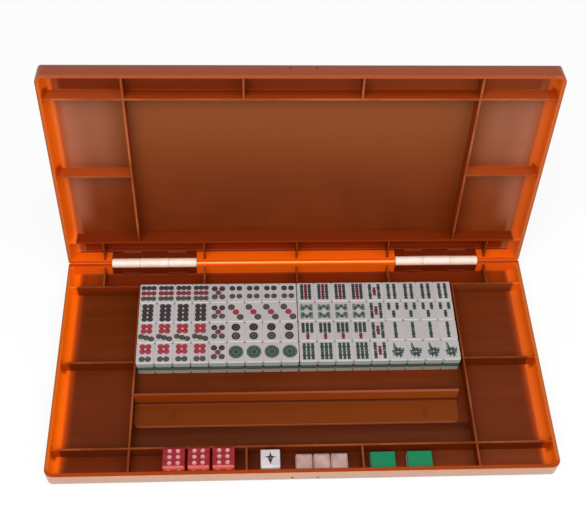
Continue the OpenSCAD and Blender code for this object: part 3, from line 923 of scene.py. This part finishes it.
def moulding_flash():
    """A hair-thin strip along the base's hinge-side rim, outside the hinges, in the tray's colour there: a
    sheet of painted shade that keeps the gap between the halves dark, where no light comes through.
    """
    bm = bmesh.new()
    for way in (-1, 1):
        ends = sorted(way * end for end in SEAM_STRIP_ENDS)
        low = Vector((ends[0], HALF_D - 0.5, TRAY_H - 0.4))
        high = Vector((ends[1], HALF_D + SEAM_STRIP_OUT, TRAY_H + SEAM_STRIP_UP))
        made = bmesh.ops.create_cube(bm, size=1.0)["verts"]
        bmesh.ops.scale(bm, verts=made, vec=(high - low) * MM)
        bmesh.ops.translate(bm, verts=made, vec=(low + high) / 2 * MM)
    mesh = bpy.data.meshes.new("moulding_flash")
    bm.to_mesh(mesh)
    bm.free()
    mesh.materials.append(FINISHES["tray_base"])
    piece = bpy.data.objects.new("moulding_flash", mesh)
    bpy.context.scene.collection.objects.link(piece)
    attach(piece, "base")


dot_marks()
bamboo_marks()
bird_marks()
die_pips()
cube_mark()
moulding_flash()


# Floor, lamps and camera

FLOOR_SIZE = 12
FLOOR_DROP = 0.2
FLOOR_WHITE = 0.82
SKY_LIGHT = 0.55

def stage_floor():
    """A pale floor that keeps the case's soft shadow and shows white to the camera and in gloss."""
    f = Finish("floor_pale")
    path = f.node("ShaderNodeLightPath", out="Is Camera Ray")
    glossy = f.node("ShaderNodeLightPath", out="Is Glossy Ray")
    through = f.node("ShaderNodeLightPath", out="Is Transmission Ray")
    seen = path.most(glossy).most(through)
    matt = f.node("ShaderNodeBsdfDiffuse", {}, {"Color": (0.86, 0.86, 0.86, 1)})
    white = f.node("ShaderNodeEmission", {}, {"Color": (1, 1, 1, 1), "Strength": 1.0})
    mixed = f.node("ShaderNodeMixShader", {}, {0: seen * FLOOR_WHITE, 1: matt, 2: white})
    f.node("ShaderNodeOutputMaterial", {}, {"Surface": mixed})
    bpy.ops.mesh.primitive_plane_add(size=FLOOR_SIZE, location=(0, 0, -FLOOR_DROP * MM))
    floor = bpy.context.object
    floor.name = "floor"
    floor.data.materials.append(f.material)


def studio_world():
    """An even pale sky, white to the camera and in gloss."""
    world = bpy.data.worlds.new("studio")
    bpy.context.scene.world = world
    world.use_nodes = True
    tree = world.node_tree
    tree.nodes.clear()
    path = tree.nodes.new("ShaderNodeLightPath")
    seen = tree.nodes.new("ShaderNodeMath")
    seen.operation = "MAXIMUM"
    level = tree.nodes.new("ShaderNodeMapRange")
    level.inputs["To Min"].default_value = SKY_LIGHT
    level.inputs["To Max"].default_value = 1.0
    sky = tree.nodes.new("ShaderNodeBackground")
    out = tree.nodes.new("ShaderNodeOutputWorld")
    tree.links.new(path.outputs["Is Camera Ray"], seen.inputs[0])
    tree.links.new(path.outputs["Is Glossy Ray"], seen.inputs[1])
    tree.links.new(seen.outputs[0], level.inputs["Value"])
    tree.links.new(level.outputs[0], sky.inputs["Strength"])
    tree.links.new(sky.outputs[0], out.inputs[0])


def soft_lamp(name, place, target, size, power):
    """A round lamp at place, in metres, that faces target."""
    lamp = bpy.data.lights.new(name, "AREA")
    lamp.shape = "DISK"
    lamp.size = size
    lamp.energy = power
    holder = bpy.data.objects.new(name, lamp)
    bpy.context.scene.collection.objects.link(holder)
    holder.location = place
    holder.rotation_euler = (Vector(target) - Vector(place)).to_track_quat("-Z", "Y").to_euler()


EYE = Vector((-44.65, -414.4, 725.7))
HEADING = 5.02
TILT = 53.57
ROLL = 3.58
FRAME_W, FRAME_H = 586, 527
FOCAL_PIXELS = 987.8
CENTRE_PIXEL = (297.3, 254.5)


def photo_camera():
    """Stands where the photographer stood. Heading turns right of +Y, tilt looks down, roll leans left."""
    heading, tilt, roll = (math.radians(a) for a in (HEADING, TILT, ROLL))
    ahead = Vector((math.sin(heading) * math.cos(tilt), math.cos(heading) * math.cos(tilt), -math.sin(tilt)))
    level = Vector((math.cos(heading), -math.sin(heading), 0))
    down = ahead.cross(level)
    right = level * math.cos(roll) - down * math.sin(roll)
    up = -(level * math.sin(roll) + down * math.cos(roll))
    data = bpy.data.cameras.new("camera")
    data.sensor_width = 36
    data.lens = FOCAL_PIXELS / FRAME_W * data.sensor_width
    data.shift_x = (FRAME_W / 2 - CENTRE_PIXEL[0]) / FRAME_W
    data.shift_y = (CENTRE_PIXEL[1] - FRAME_H / 2) / FRAME_W
    data.clip_start, data.clip_end = 0.01, 50
    camera = bpy.data.objects.new("camera", data)
    bpy.context.scene.collection.objects.link(camera)
    turn = Matrix((right, up, -ahead)).transposed().to_4x4()
    camera.matrix_world = Matrix.Translation(EYE * MM) @ turn
    bpy.context.scene.camera = camera


stage_floor()
studio_world()
soft_lamp("key", (-0.5, -0.9, 1.7), (0, 0, 0.03), size=1.4, power=26)
soft_lamp("fill", (0.9, -0.5, 1.5), (0, 0.05, 0.03), size=1.6, power=12)
photo_camera()
bpy.context.scene.view_settings.view_transform = "Standard"
